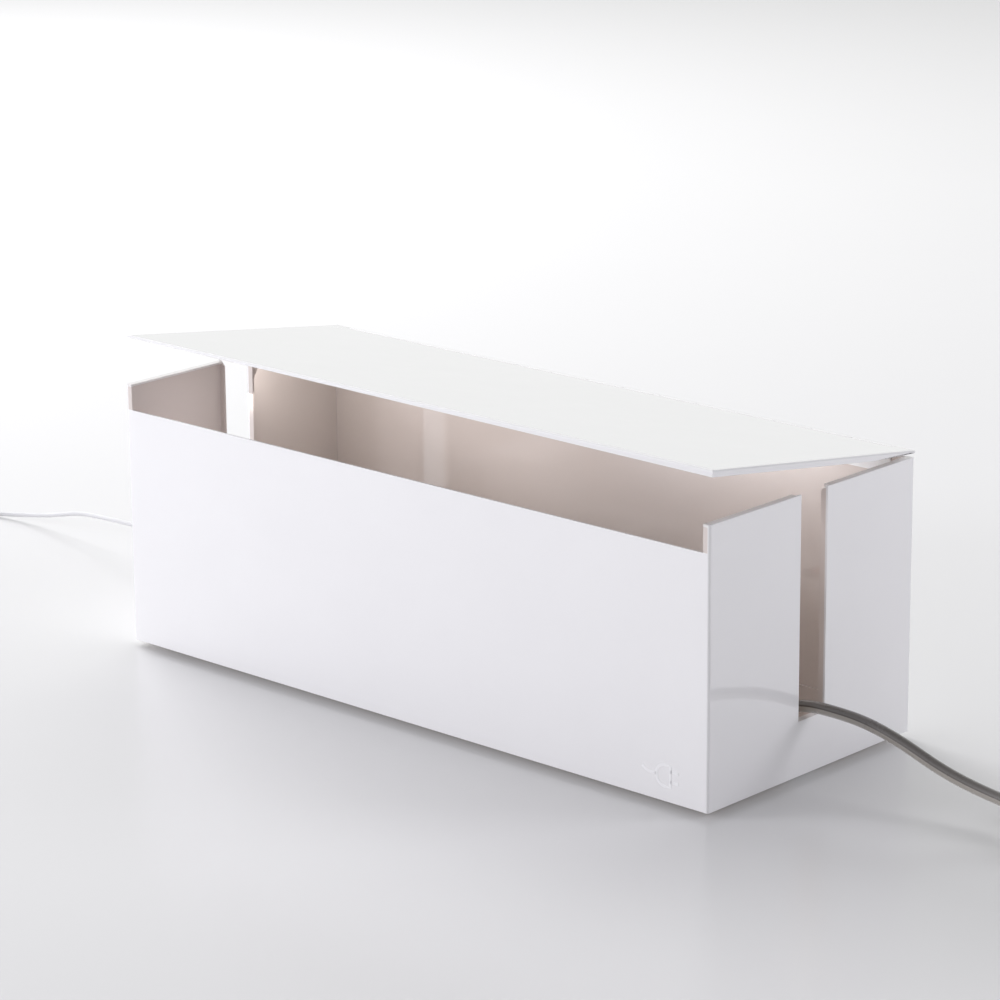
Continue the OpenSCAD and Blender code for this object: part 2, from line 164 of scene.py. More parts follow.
def lathe(profile, sides=64):
    """A closed bmesh turned about +X from (x, r) pairs, its first and last radius 0."""
    bm = bmesh.new()
    rings = []
    for x, r in profile:
        if r < 1e-9:
            rings.append([bm.verts.new((x, 0, 0))])
        else:
            rings.append([
                bm.verts.new((x, r * math.cos(TAU * k / sides), r * math.sin(TAU * k / sides)))
                for k in range(sides)
            ])
    for a, b in zip(rings, rings[1:]):
        for k in range(sides):
            n = (k + 1) % sides
            if len(a) == 1:
                bm.faces.new((a[0], b[k], b[n]))
            elif len(b) == 1:
                bm.faces.new((a[k], b[0], a[n]))
            else:
                bm.faces.new((a[k], b[k], b[n], a[n]))
    return bm


def place(bm, m):
    """Moves a bmesh by a matrix and gives it back."""
    bmesh.ops.transform(bm, matrix=m, verts=bm.verts)
    return bm


def join_into(bm, other):
    """Adds another bmesh's faces to bm."""
    mesh = bpy.data.meshes.new("part")
    other.to_mesh(mesh)
    other.free()
    bm.from_mesh(mesh)
    bpy.data.meshes.remove(mesh)
    return bm


def slab(lo, hi, width=0.0, segments=2):
    """A bmesh block between two corners, in metres, with rounded edges."""
    bm = bmesh.new()
    bmesh.ops.create_cube(bm, size=1)
    lo, hi = Vector(lo), Vector(hi)
    place(bm, Matrix.Translation((lo + hi) / 2) @ Matrix.Diagonal((*(hi - lo), 1)))
    if width:
        soften(bm, width, segments)
    return bm


# ---------------------------------------------------------------- materials
def node_material(name):
    mat = bpy.data.materials.new(name)
    mat.use_nodes = True
    tree = mat.node_tree
    bsdf = tree.nodes["Principled BSDF"]
    return mat, tree, bsdf


def add(tree, kind, **values):
    n = tree.nodes.new(kind)
    for key, value in values.items():
        if key in n.inputs:
            n.inputs[key].default_value = value
        else:
            setattr(n, key, value)
    return n


def coords(tree, scale=(1, 1, 1)):
    """Object coordinates, scaled."""
    where = add(tree, "ShaderNodeTexCoord")
    mapping = add(tree, "ShaderNodeMapping")
    mapping.inputs["Scale"].default_value = scale
    tree.links.new(where.outputs["Object"], mapping.inputs["Vector"])
    return mapping.outputs["Vector"]


def noise(tree, vector, scale, detail=3.0, rough=0.5):
    n = add(tree, "ShaderNodeTexNoise")
    n.inputs["Scale"].default_value = scale
    n.inputs["Detail"].default_value = detail
    n.inputs["Roughness"].default_value = rough
    tree.links.new(vector, n.inputs["Vector"])
    return n.outputs["Fac"]


def ramp(tree, fac, stops):
    n = add(tree, "ShaderNodeValToRGB")
    while len(n.color_ramp.elements) < len(stops):
        n.color_ramp.elements.new(0.5)
    for e, (pos, col) in zip(n.color_ramp.elements, stops):
        e.position = pos
        e.color = (*col, 1) if len(col) == 3 else col
    tree.links.new(fac, n.inputs["Fac"])
    return n.outputs["Color"]


def to_range(tree, fac, lo, hi):
    n = add(tree, "ShaderNodeMapRange")
    n.inputs["To Min"].default_value = lo
    n.inputs["To Max"].default_value = hi
    tree.links.new(fac, n.inputs["Value"])
    return n.outputs["Result"]


def bump(tree, heights, bsdf):
    """Chains bumps of (height, strength, distance) into the shader's normal."""
    last = None
    for height, strength, distance in heights:
        n = add(tree, "ShaderNodeBump")
        n.inputs["Strength"].default_value = strength
        n.inputs["Distance"].default_value = distance
        tree.links.new(height, n.inputs["Height"])
        if last:
            tree.links.new(last, n.inputs["Normal"])
        last = n.outputs["Normal"]
    tree.links.new(last, bsdf.inputs["Normal"])


def compare(tree, value, limit, operation):
    """1 where the value is above or below the limit, else 0."""
    n = add(tree, "ShaderNodeMath", operation=operation)
    tree.links.new(value, n.inputs[0])
    n.inputs[1].default_value = limit
    return n.outputs["Value"]


def combine(tree, first, second, operation):
    """The two values put together by a Math node's operation."""
    n = add(tree, "ShaderNodeMath", operation=operation)
    tree.links.new(first, n.inputs[0])
    tree.links.new(second, n.inputs[1])
    return n.outputs["Value"]


# painted shade: where the coat is painted greyer, in metres from the box's middle: inside these
# walls, on the flanges above the front panel, less over the rim, and not on the sills of the cable
# slots
INSIDE_X, INSIDE_Y = 0.1989, 0.0769
FLANGE_X, FLANGE_Z = 0.1986, 0.1312
SILL_HALF, SILL_Z = 0.0113, 0.0335
RIM_Z, RIM_FADE = 0.1437, 0.6


def inside_shade_mask(tree):
    """1 where the painted shade goes: on the faces inside the box and on the flanges above its
    front panel, less along the walls' top edges, else 0."""
    axes = add(tree, "ShaderNodeSeparateXYZ")
    tree.links.new(add(tree, "ShaderNodeTexCoord").outputs["Object"], axes.inputs[0])
    size = {}
    for axis in "XY":
        n = add(tree, "ShaderNodeMath", operation="ABSOLUTE")
        tree.links.new(axes.outputs[axis], n.inputs[0])
        size[axis] = n.outputs["Value"]
    behind = combine(
        tree, compare(tree, size["X"], INSIDE_X, "LESS_THAN"),
        compare(tree, size["Y"], INSIDE_Y, "LESS_THAN"), "MULTIPLY",
    )
    flange = combine(
        tree, compare(tree, size["X"], FLANGE_X, "LESS_THAN"),
        compare(tree, axes.outputs["Z"], FLANGE_Z, "GREATER_THAN"), "MULTIPLY",
    )
    ahead = compare(tree, axes.outputs["Y"], 0, "LESS_THAN")
    off_sill = combine(
        tree, compare(tree, size["Y"], SILL_HALF, "GREATER_THAN"),
        compare(tree, axes.outputs["Z"], SILL_Z, "GREATER_THAN"), "MAXIMUM",
    )
    behind = combine(tree, behind, off_sill, "MULTIPLY")
    mask = combine(tree, behind, combine(tree, flange, ahead, "MULTIPLY"), "MAXIMUM")
    rim = compare(tree, axes.outputs["Z"], RIM_Z, "GREATER_THAN")
    fade = add(tree, "ShaderNodeMath", operation="MULTIPLY_ADD")
    tree.links.new(rim, fade.inputs[0])
    fade.inputs[1].default_value = -RIM_FADE
    fade.inputs[2].default_value = 1
    return combine(tree, mask, fade.outputs["Value"], "MULTIPLY")


def coat_paint(name, tone, rough=0.12, inside=None):
    """High-gloss powder coat: a smooth clear surface over faint cloudiness and orange peel,
    with a greyer tone painted on the faces inside the box as painted shade if one is given."""
    mat, tree, bsdf = node_material(name)
    v = coords(tree)
    cloud = noise(tree, v, 14, 2)
    dark = tuple(c * 0.985 for c in tone)
    colour = ramp(tree, cloud, [(0.3, dark), (0.7, tone)])
    # the inside tone is painted shade, laid over the inside faces by the mask
    if inside:
        mix = add(tree, "ShaderNodeMix", data_type="RGBA")
        tree.links.new(inside_shade_mask(tree), mix.inputs["Factor"])
        tree.links.new(colour, mix.inputs[6])
        mix.inputs[7].default_value = (*inside, 1)
        colour = mix.outputs[2]
    tree.links.new(colour, bsdf.inputs["Base Color"])
    marks = noise(tree, v, 55, 4, 0.6)
    tree.links.new(to_range(tree, marks, rough - 0.03, rough + 0.04), bsdf.inputs["Roughness"])
    peel = noise(tree, v, 620, 2, 0.45)
    fine = noise(tree, v, 2600, 2, 0.5)
    bump(tree, [(peel, 0.06, 0.00005), (fine, 0.04, 0.00002)], bsdf)
    bsdf.inputs["IOR"].default_value = 1.5
    bsdf.inputs["Coat Weight"].default_value = 1.0
    bsdf.inputs["Coat Roughness"].default_value = 0.02
    bsdf.inputs["Coat IOR"].default_value = 1.7
    return mat


def moulded(name, tone, rough=0.42, grain=900.0, depth=0.00004, spread=0.06, coat=0.0):
    """Moulded plastic: spark texture, slight colour drift, rubbed patches."""
    mat, tree, bsdf = node_material(name)
    v = coords(tree)
    drift = noise(tree, v, 22, 3)
    low = tuple(c * 0.94 for c in tone)
    tree.links.new(ramp(tree, drift, [(0.25, low), (0.75, tone)]), bsdf.inputs["Base Color"])
    rub = noise(tree, v, 75, 5, 0.65)
    tree.links.new(to_range(tree, rub, rough - spread, rough + spread), bsdf.inputs["Roughness"])
    spark = noise(tree, v, grain, 3, 0.6)
    wide = noise(tree, v, grain * 0.12, 2, 0.5)
    bump(tree, [(spark, 0.35, depth), (wide, 0.12, depth * 2)], bsdf)
    bsdf.inputs["Coat Weight"].default_value = coat
    bsdf.inputs["Coat Roughness"].default_value = 0.12
    return mat


def metal(name, tone, rough=0.25, stretch=(1, 1, 1), grain=1400.0):
    """Drawn or plated metal with fine lines along its length."""
    mat, tree, bsdf = node_material(name)
    v = coords(tree, stretch)
    lines = noise(tree, v, grain, 3, 0.6)
    low = tuple(c * 0.82 for c in tone)
    tree.links.new(ramp(tree, lines, [(0.3, low), (0.7, tone)]), bsdf.inputs["Base Color"])
    tree.links.new(to_range(tree, lines, rough - 0.07, rough + 0.1), bsdf.inputs["Roughness"])
    bump(tree, [(lines, 0.2, 0.00002)], bsdf)
    bsdf.inputs["Metallic"].default_value = 1.0
    return mat


def lead_jacket_painted_light(name, low, line, high, rough=0.28):
    """Glossy lead jacket with painted light: paler on its lower side as a painted reflection of the
    floor, with a dark line of painted shade between the two sides.
    """
    mat, tree, bsdf = node_material(name)
    v = coords(tree)
    # painted light: the tone follows which way the surface faces, paler facing down as a painted
    # reflection
    facing = add(tree, "ShaderNodeSeparateXYZ")
    tree.links.new(add(tree, "ShaderNodeTexCoord").outputs["Normal"], facing.inputs[0])
    side = add(tree, "ShaderNodeMapRange")
    side.inputs["From Min"].default_value = -1
    tree.links.new(facing.outputs["Z"], side.inputs["Value"])
    tree.links.new(
        ramp(tree, side.outputs["Result"],
             [(0.0, low), (0.56, low), (0.62, line), (0.66, line), (0.73, high)]),
        bsdf.inputs["Base Color"],
    )
    rub = noise(tree, v, 75, 5, 0.65)
    tree.links.new(to_range(tree, rub, rough - 0.05, rough + 0.05), bsdf.inputs["Roughness"])
    spark = noise(tree, v, 800, 3, 0.6)
    bump(tree, [(spark, 0.3, 0.00002)], bsdf)
    bsdf.inputs["Coat Weight"].default_value = 0.8
    bsdf.inputs["Coat Roughness"].default_value = 0.15
    bsdf.inputs["Coat IOR"].default_value = 1.6
    return mat


def woven(name, tone):
    """Hook and loop tape: a close weave with fuzz."""
    mat, tree, bsdf = node_material(name)
    v = coords(tree)
    weave = add(tree, "ShaderNodeTexVoronoi")
    weave.inputs["Scale"].default_value = 1600
    tree.links.new(v, weave.inputs["Vector"])
    fuzz = noise(tree, v, 2400, 4, 0.7)
    low = tuple(c * 0.6 for c in tone)
    tree.links.new(ramp(tree, fuzz, [(0.3, low), (0.75, tone)]), bsdf.inputs["Base Color"])
    bump(tree, [(weave.outputs["Distance"], 0.6, 0.0002), (fuzz, 0.4, 0.0001)], bsdf)
    bsdf.inputs["Roughness"].default_value = 0.9
    bsdf.inputs["Sheen Weight"].default_value = 0.3
    return mat


COAT_WHITE = (0.915, 0.912, 0.918)
M = {
    "coat": coat_paint("powder_coat_white", COAT_WHITE),
    # the box's coat is painted greyer and warmer inside, as painted shade of the interior
    "box": coat_paint("box_coat_white_painted_inside_shade", COAT_WHITE, inside=(0.72, 0.645, 0.605)),
    "inner": coat_paint("hinge_coat_white", (0.905, 0.90, 0.90), 0.3),
    "print": moulded("raised_print_white", (0.99, 0.99, 1.0), 0.3, 1500, 0.00001, 0.03),
    "silicone": moulded("silicone_foot", (0.62, 0.62, 0.60), 0.6, 1200, 0.00003),
    "steel": metal("pin_steel", (0.60, 0.60, 0.62), 0.32, (1, 30, 30)),
    "nickel": metal("plated_contact", (0.78, 0.76, 0.72), 0.18, (1, 12, 12)),
    "brass": metal("stamped_brass", (0.78, 0.56, 0.24), 0.30),
    "zinc": metal("zinc_screw", (0.58, 0.60, 0.64), 0.34),
    "strip": moulded("strip_case_white", (0.80, 0.80, 0.785), 0.46, 1100, 0.00005),
    "insert": moulded("outlet_insert_white", (0.74, 0.74, 0.725), 0.36, 1500, 0.00002),
    "bezel": moulded("bezel_black", (0.018, 0.018, 0.02), 0.42, 1300, 0.00003),
    "rocker": moulded("rocker_red", (0.50, 0.025, 0.02), 0.22, 1500, 0.00001, 0.04, 0.4),
    # the lead's paler underside is a painted reflection and its dark side line is painted shade
    "lead": lead_jacket_painted_light("lead_jacket_grey", (0.40, 0.37, 0.33), (0.075, 0.065, 0.055),
                        (0.15, 0.14, 0.13)),
    "mould_grey": moulded("moulding_grey", (0.085, 0.08, 0.08), 0.48, 1200, 0.00006),
    "tie": woven("tie_black", (0.03, 0.03, 0.033)),
    "thin": moulded("thin_lead_jacket", (0.66, 0.66, 0.67), 0.42, 1500, 0.00002, 0.05),
    "light": moulded("light_moulding", (0.76, 0.76, 0.76), 0.35, 1500, 0.00002, 0.05, 0.15),
    "charger": moulded("charger_gloss_white", (0.86, 0.86, 0.86), 0.2, 1800, 0.00001, 0.05, 0.4),
    "brown": moulded("core_brown", (0.17, 0.055, 0.022), 0.35),
    "blue": moulded("core_blue", (0.03, 0.10, 0.36), 0.35),
    "green": moulded("core_green", (0.08, 0.27, 0.04), 0.35),
}


# ---------------------------------------------------------------- cords
def eased(points, step):
    """A smooth line through the points, sampled about every step metres."""
    pts = [Vector(p) for p in points]
    out = []
    for i in range(len(pts) - 1):
        a, b = pts[max(i - 1, 0)], pts[i]
        c, d = pts[i + 1], pts[min(i + 2, len(pts) - 1)]
        n = max(1, round((c - b).length / step))
        for j in range(n):
            t = j / n
            out.append(0.5 * (
                2 * b + (c - a) * t + (2 * a - 5 * b + 4 * c - d) * t ** 2
                + (3 * b - a - 3 * c + d) * t ** 3
            ))
    out.append(pts[-1])
    return out


def settled(points, passes):
    """The line with small kinks relaxed, its ends kept."""
    pts = [Vector(p) for p in points]
    for _ in range(passes):
        pts = [pts[0]] + [
            (pts[i - 1] + 2 * pts[i] + pts[i + 1]) / 4 for i in range(1, len(pts) - 1)
        ] + [pts[-1]]
    return pts


def wound(centre, lanes, start, last, turn, sector=50, every=6):
    """Turns of a coil: lanes are (radius, height) in order, each a full turn that steps over to
    the next inside one sector; the last lane ends at the angle last. Angles are in degrees."""
    pts = []
    for i, (r, z) in enumerate(lanes):
        final = i == len(lanes) - 1
        span = (last - start) * turn % 360 if final else 360
        for k in range(0, int(span / every) + (1 if final else 0)):
            ang = k * every
            rr, zz = r, z
            if not final and ang > 360 - sector:
                t = (ang - 360 + sector) / sector
                nr, nz = lanes[i + 1]
                rise = min(1.0, t * 1.7) if nz > z + 1e-6 else t
                rr = r + (nr - r) * t * t * (3 - 2 * t)
                zz = z + (nz - z) * rise * rise * (3 - 2 * rise)
            a = math.radians(start + turn * ang)
            pts.append(Vector((centre[0] + rr * math.cos(a), centre[1] + rr * math.sin(a), zz)))
    return pts


def cord_curve(name, points, radius, sides):
    """A round cord along the points."""
    data = bpy.data.curves.new(name, "CURVE")
    data.dimensions = "3D"
    data.bevel_depth = radius
    data.bevel_resolution = sides
    data.use_fill_caps = True
    data.twist_mode = "Z_UP"
    spline = data.splines.new("POLY")
    spline.points.add(len(points) - 1)
    for p, co in zip(spline.points, points):
        p.co = (*co, 1)
    return link(name, data)


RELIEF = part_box("lead_relief")
RELIEF_Z = (RELIEF[0].z + RELIEF[1].z) / 2

MAINS_R = 0.0030
MAINS_C = (0.420, -0.012)
MAINS_ROUTE = [
    (0.158, 0, RELIEF_Z), (0.172, 0, 0.028), (0.186, 0, 0.0334), (0.200, 0, 0.0365),
    (0.215, 0, 0.0368), (0.230, 0, 0.0361), (0.245, 0, 0.0333), (0.260, 0, 0.0289),
    (0.275, 0.0006, 0.0232), (0.290, 0.0016, 0.0189), (0.305, 0.0024, 0.016),
    (0.320, 0.0016, 0.0144), (0.335, -0.0035, 0.0114), (0.350, -0.0125, 0.008),
    (0.365, -0.024, 0.005), (0.381, -0.037, 0.0039),
]
MAINS_LANES = [
    (0.0430, 0.0038), (0.0370, 0.0038), (0.0310, 0.0038), (0.0340, 0.0090), (0.0400, 0.0090)
]
MAINS_TAIL = [
    (0.4145, 0.0288, 0.0096), (0.406, 0.0318, 0.0113), (0.398, 0.0348, 0.0128),
    (0.392, 0.036, 0.0132),
]
mains_points = settled(eased(
    MAINS_ROUTE + [tuple(p) for p in wound(MAINS_C, MAINS_LANES, 240, 84, 1)] + MAINS_TAIL, 0.003
), 6)

THIN_R = 0.0013
THIN_C = (-0.494, 0.005)
PORT_Z = (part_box("charger_port")[0].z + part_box("charger_port")[1].z) / 2
THIN_ROUTE = [
    (-0.160, 0, PORT_Z), (-0.170, 0, 0.0605), (-0.178, 0, 0.055), (-0.184, 0, 0.046),
    (-0.190, 0, 0.0384), (-0.198, 0, 0.0334), (-0.210, 0.0005, 0.0324), (-0.230, 0.003, 0.0309),
    (-0.255, 0.007, 0.029), (-0.282, 0.012, 0.0274), (-0.310, 0.0166, 0.0255),
    (-0.338, 0.0227, 0.022), (-0.364, 0.0286, 0.018), (-0.388, 0.0318, 0.012),
    (-0.404, 0.034, 0.008), (-0.420, 0.035, 0.005), (-0.433, 0.034, 0.003),
    (-0.443, 0.0317, 0.002), (-0.455, 0.024, 0.0019), (-0.466, 0.013, 0.0019),
    (-0.473, 0.0035, 0.0019),
]
THIN_LANES = [
    (0.0199, 0.0019), (0.0173, 0.0019), (0.0147, 0.0019), (0.0121, 0.0019),
    (0.0134, 0.00415), (0.0160, 0.00415), (0.0186, 0.00415),
]
THIN_TAIL = [(-0.5128, 0.012, 0.0038), (-0.513, 0.020, 0.0034), (-0.513, 0.028, 0.0033)]
thin_points = settled(eased(
    THIN_ROUTE + [tuple(p) for p in wound(THIN_C, THIN_LANES, -30, -176, -1)] + THIN_TAIL, 0.002
), 5)

mains = cord_curve("mains_lead_cord", mains_points, MAINS_R, 7)
mains.data.materials.append(M["lead"])
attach(mains, "tray")
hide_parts("mains_lead", "mains_lead_coil", "mains_lead_tail")

thin = cord_curve("device_lead_cord", thin_points, THIN_R, 4)
thin.data.materials.append(M["thin"])
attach(thin, "tray")
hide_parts("device_lead", "device_lead_coil", "device_lead_tail")


def ribbed_taper(x0, x1, r0, r1, ribs, cut):
    """Profile of a tapered strain relief with ring grooves, as (x, r) pairs."""
    prof = []
    pitch = (x1 - x0) / ribs
    for i in range(ribs):
        xa = x0 + i * pitch
        for f, c in ((0.0, 0.35), (0.1, 0), (0.62, 0), (0.72, 0.35), (0.76, 1), (0.94, 1)):
            x = xa + f * pitch
            r = r0 + (r1 - r0) * (x - x0) / (x1 - x0)
            prof.append((x, r - cut * c))
    prof.append((x1 - 0.0004, r1))
    prof.append((x1, r1 - 0.0004))
    return prof


def make_plug():
    """Moulded plug: a barrel with a ribbed grip, a shoulder and its strain relief."""
    lo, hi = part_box("mains_plug")
    cy, cz = (lo.y + hi.y) / 2, (lo.z + hi.z) / 2
    r = (hi.z - lo.z) / 2
    x0, x1 = lo.x, hi.x
    prof = [(x0, 0), (x0, r - 0.0012), (x0 + 0.0004, r - 0.0005), (x0 + 0.0012, r - 0.0001)]
    prof += [(x0 + 0.004, r), (x0 + 0.0046, r - 0.0006)]
    for i in range(7):
        a = x0 + 0.006 + i * 0.0022
        prof += [(a, r - 0.0006), (a + 0.0004, r - 0.0001), (a + 0.0013, r - 0.0001),
                 (a + 0.0017, r - 0.0006)]
    prof += [(x0 + 0.022, r - 0.0004), (x0 + 0.026, r - 0.0012), (x0 + 0.030, r - 0.0032),
             (x0 + 0.033, r - 0.0050), (x0 + 0.0342, 0.0074)]
    prof += ribbed_taper(x0 + 0.0346, x1, 0.0069, 0.0042, 6, 0.0011)
    prof.append((x1, 0))
    bm = place(lathe(prof, 96), Matrix.Translation((0, cy, cz)))
    return finish_mesh(bm, "mains_plug_moulding", "tray", M["mould_grey"],
                       ["mains_plug"], angle=40)


def make_relief():
    """The strip's end moulding with ring grooves."""
    lo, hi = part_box("lead_relief")
    cy, cz = (lo.y + hi.y) / 2, (lo.z + hi.z) / 2
    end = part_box("strip_cover")[1].x
    prof = [(lo.x, 0), (lo.x, 0.0066), (lo.x + 0.0004, 0.007), (end - 0.0024, 0.007),
            (end - 0.002, 0.0066), (end - 0.002, 0.005), (end, 0.005), (end, 0.0062),
            (end + 0.0004, 0.0066), (end + 0.003, 0.0066)]
    prof += ribbed_taper(end + 0.0034, hi.x, 0.0062, 0.0042, 6, 0.0009)
    prof.append((hi.x, 0))
    bm = place(lathe(prof, 72), Matrix.Translation((0, cy, cz)))
    return finish_mesh(bm, "lead_relief_moulding", "tray", M["mould_grey"],
                       ["lead_relief"], angle=40)


PIN_R = 0.0024
PIN_APART = 0.0095       # each pin's distance from the middle
SLEEVE_STEP = 0.00018    # how far a pin is thinner inside its sleeve's end


def make_pins(node, name, axis):
    """Two round plug pins with domed tips and a step near the body."""
    lo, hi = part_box(node)
    r, neck = PIN_R, PIN_R - SLEEVE_STEP
    length = (hi.x - lo.x) if axis == "x" else (hi.z - lo.z)
    prof = [(0, 0), (0.0002, 0.0009), (0.0007, 0.0016), (0.0016, 0.00225), (0.0026, r),
            (length - 0.0095, r), (length - 0.0094, neck), (length - 0.0005, neck),
            (length, neck), (length, 0)]
    bm = bmesh.new()
    for s in (-1, 1):
        one = lathe(prof, 48)
        if axis == "x":
            cz = (lo.z + hi.z) / 2
            cy = (lo.y + hi.y) / 2 + s * PIN_APART
            place(one, Matrix.Translation((lo.x, cy, cz)))
        else:
            cx = (lo.x + hi.x) / 2
            turn = Matrix.Rotation(-math.pi / 2, 4, "Y")
            place(one, Matrix.Translation((cx, s * PIN_APART, lo.z)) @ turn)
        join_into(bm, one)
    return finish_mesh(bm, name, "tray", M["nickel"], [node], angle=40)


plug = make_plug()
plug_pins = make_pins("mains_plug_pins", "mains_plug_contacts", "x")
make_relief()


def make_tie(node, name, centre, mid, width, height, thick, wide, angle, slot, material):
    """A strap round the coil's section: a soft rounded band with a lapped free end."""
    bm = bmesh.new()
    w, h = width / 2, height
    corner = min(h, 2 * w) * 0.32
    path = []
    x0, x1 = mid - w, mid + w
    z0, z1 = thick, thick + h
    for cx, cz, a0 in ((x1 - corner, z0 + corner, -90), (x1 - corner, z1 - corner, 0),
                       (x0 + corner, z1 - corner, 90), (x0 + corner, z0 + corner, 180)):
        for k in range(7):
            a = math.radians(a0 + 15 * k)
            path.append((cx, cz, math.cos(a), math.sin(a)))
    rings = []
    for cx, cz, ux, uz in path:
        ring = []
        for off, y in ((0, -wide / 2), (0, wide / 2), (thick, wide / 2), (thick, -wide / 2)):
            d = corner + off
            ring.append(bm.verts.new((cx + ux * d, y, cz + uz * d)))
        rings.append(ring)
    for a, b in zip(rings, rings[1:] + rings[:1]):
        for k in range(4):
            n = (k + 1) % 4
            bm.faces.new((a[k], a[n], b[n], b[k]))
    soften(bm, thick * 0.3, 2, angle=60)
    if slot == "tie_black":
        lap = slab((mid - 0.009, -wide / 2 + 0.0002, z1 + thick * 0.98),
                   (mid + w - corner, wide / 2 - 0.0002, z1 + thick * 1.7), thick * 0.3)
        join_into(bm, lap)
    place(bm, Matrix.Translation((centre[0], centre[1], 0))
          @ Matrix.Rotation(math.radians(angle), 4, "Z"))
    return finish_mesh(bm, name, "tray", material, [node])


tie = make_tie("mains_lead_tie", "mains_lead_strap", MAINS_C, 0.0369, 0.0188, 0.01116, 0.0008,
               0.012, -20, "tie_black", M["tie"])
thin_tie = make_tie("device_lead_tie", "device_lead_strap", THIN_C, 0.01575, 0.0115, 0.00484,
                    0.0006, 0.006, 80, "light_moulding", M["light"])


def make_connector():
    """Flat oval connector with a small collar towards the lead, and its metal shell."""
    lo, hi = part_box("device_connector")
    s_lo, s_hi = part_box("device_connector_shell")
    cx, cz = (lo.x + hi.x) / 2, (s_lo.z + s_hi.z) / 2
    w, h = (hi.x - lo.x) / 2, (hi.z - lo.z) / 2
    sides = 48

    def oval(bm, y, a, b, c=0.62):
        ring = []
        for k in range(sides):
            t = TAU * k / sides
            ct, st = math.cos(t), math.sin(t)
            ring.append(bm.verts.new((
                cx + a * math.copysign(abs(ct) ** c, ct), y,
                cz + b * math.copysign(abs(st) ** c, st),
            )))
        return ring

    def skin(sections):
        bm = bmesh.new()
        rings = [oval(bm, *s) for s in sections]
        for a, b in zip(rings, rings[1:]):
            for k in range(sides):
                n = (k + 1) % sides
                bm.faces.new((a[k], a[n], b[n], b[k]))
        bm.faces.new(rings[0])
        bm.faces.new(list(reversed(rings[-1])))
        return bm

    y0, y1 = lo.y, hi.y
    collar = [
        (y0, 0.0017, 0.0017, 1), (y0 + 0.0015, 0.0019, 0.0019, 1), (y0 + 0.0018, 0.0016, 0.0016, 1),
        (y0 + 0.0024, 0.0016, 0.0016, 1), (y0 + 0.0027, 0.0021, 0.0021, 1),
        (y0 + 0.0042, 0.0023, 0.0022, 1), (y0 + 0.0045, 0.0019, 0.0018, 1),
        (y0 + 0.0051, 0.0019, 0.0018, 1), (y0 + 0.0054, 0.0026, 0.0023, 0.9),
        (y0 + 0.0060, 0.0028, 0.0024, 0.9),
    ]
    body = [
        (y0 + 0.0064, w - 0.0012, h - 0.0010), (y0 + 0.0074, w - 0.0003, h - 0.0003),
        (y0 + 0.0090, w, h), (y1 - 0.0014, w, h), (y1 - 0.0005, w - 0.0003, h - 0.0003),
        (y1, w - 0.0010, h - 0.0009),
    ]
    case = finish_mesh(skin(collar + body), "device_connector_moulding", "tray",
                       M["light"], ["device_connector"], angle=45)
    sw, sh = (s_hi.x - s_lo.x) / 2, (s_hi.z - s_lo.z) / 2
    tube = [
        (s_lo.y, sw, sh), (s_hi.y - 0.0003, sw, sh), (s_hi.y, sw - 0.0002, sh - 0.0002),
        (s_hi.y, sw - 0.0004, sh - 0.0004), (s_hi.y - 0.005, sw - 0.0004, sh - 0.0004),
    ]
    bm = skin(tube)
    shell = finish_mesh(bm, "device_connector_sleeve", "tray", M["nickel"],
                        ["device_connector_shell"], angle=45)
    return case, shell


connector, sleeve = make_connector()


# ---------------------------------------------------------------- steel box
refined("outer_wrap", "tray", M["box"], 0.35 * MM, 3)
refined("back_panel", "tray", M["box"], 0.30 * MM, 3)
refined("base_plate", "tray", M["box"], 0.25 * MM, 2)
refined("foot_pads", "tray", M["silicone"], 0.4 * MM, 3)
refined("hinge_fixed_leaf", "tray", M["inner"], 0.10 * MM, 2)
refined("hinge_lid_leaf", "lid", M["inner"], 0.10 * MM, 2)
refined("hinge_pin", "tray", M["steel"], 0.25 * MM, 3)


FOLD_R = 2.3 * MM        # the lid's outside radius along its front and its ends
LID_SHARP = 0.22 * MM    # and on its other edges
SAME = 2e-5              # two heights or depths closer than this are the same
# the lid's front skirt is low at its left end and reaches its full height over this length
SKIRT_RUN, SKIRT_DEEP, SKIRT_KEPT, SKIRT_CURVE = 0.011, 0.0016, 0.0010, 1.6


def make_lid():
    """The lid, shaped as if shut: large folds along its front and ends, then a skirt that runs
    out at the left end."""
    axis = Vector(joint_named("lid_hinge")["pos_m"])
    tilt = math.radians(-joint_named("lid_hinge")["range_deg"][0])
    shut = (Matrix.Translation(axis) @ Matrix.Rotation(tilt, 4, "X")
            @ Matrix.Translation(-axis))
    bm = place(weld_copy("lid_panel"), shut)
    top = max(v.co.z for v in bm.verts)
    low_y = min(v.co.y for v in bm.verts)
    half = max(v.co.x for v in bm.verts)

    def fold(e):
        a, b = (v.co for v in e.verts)
        on_top = abs(a.z - top) < SAME and abs(b.z - top) < SAME
        front = abs(a.y - low_y) < SAME and abs(b.y - low_y) < SAME
        end = abs(abs(a.x) - half) < SAME and abs(b.x - a.x) < SAME
        return on_top and (front or end)

    soften(bm, FOLD_R, 7, fold)
    soften(bm, LID_SHARP, 2, angle=40)
    cut = top - SKIRT_KEPT
    for v in bm.verts:
        t = (v.co.x + half) / SKIRT_RUN
        if t < 1 and v.co.y < low_y + SKIRT_DEEP and v.co.z < cut:
            keep = 1 - (1 - max(t, 0)) ** SKIRT_CURVE
            v.co.z = cut + (v.co.z - cut) * keep
    place(bm, shut.inverted())
    return finish_mesh(bm, "lid_panel_body", "lid", M["coat"], ["lid_panel"])


make_lid()


SIGN_IN, SIGN_UP = 0.0205, 0.0130    # from the front panel's lower right corner
SIGN_SCALE = 1.35
SIGN_LINE = 0.0011                   # line width before scaling
SIGN_SUNK, SIGN_PROUD = 0.00002, 0.00009


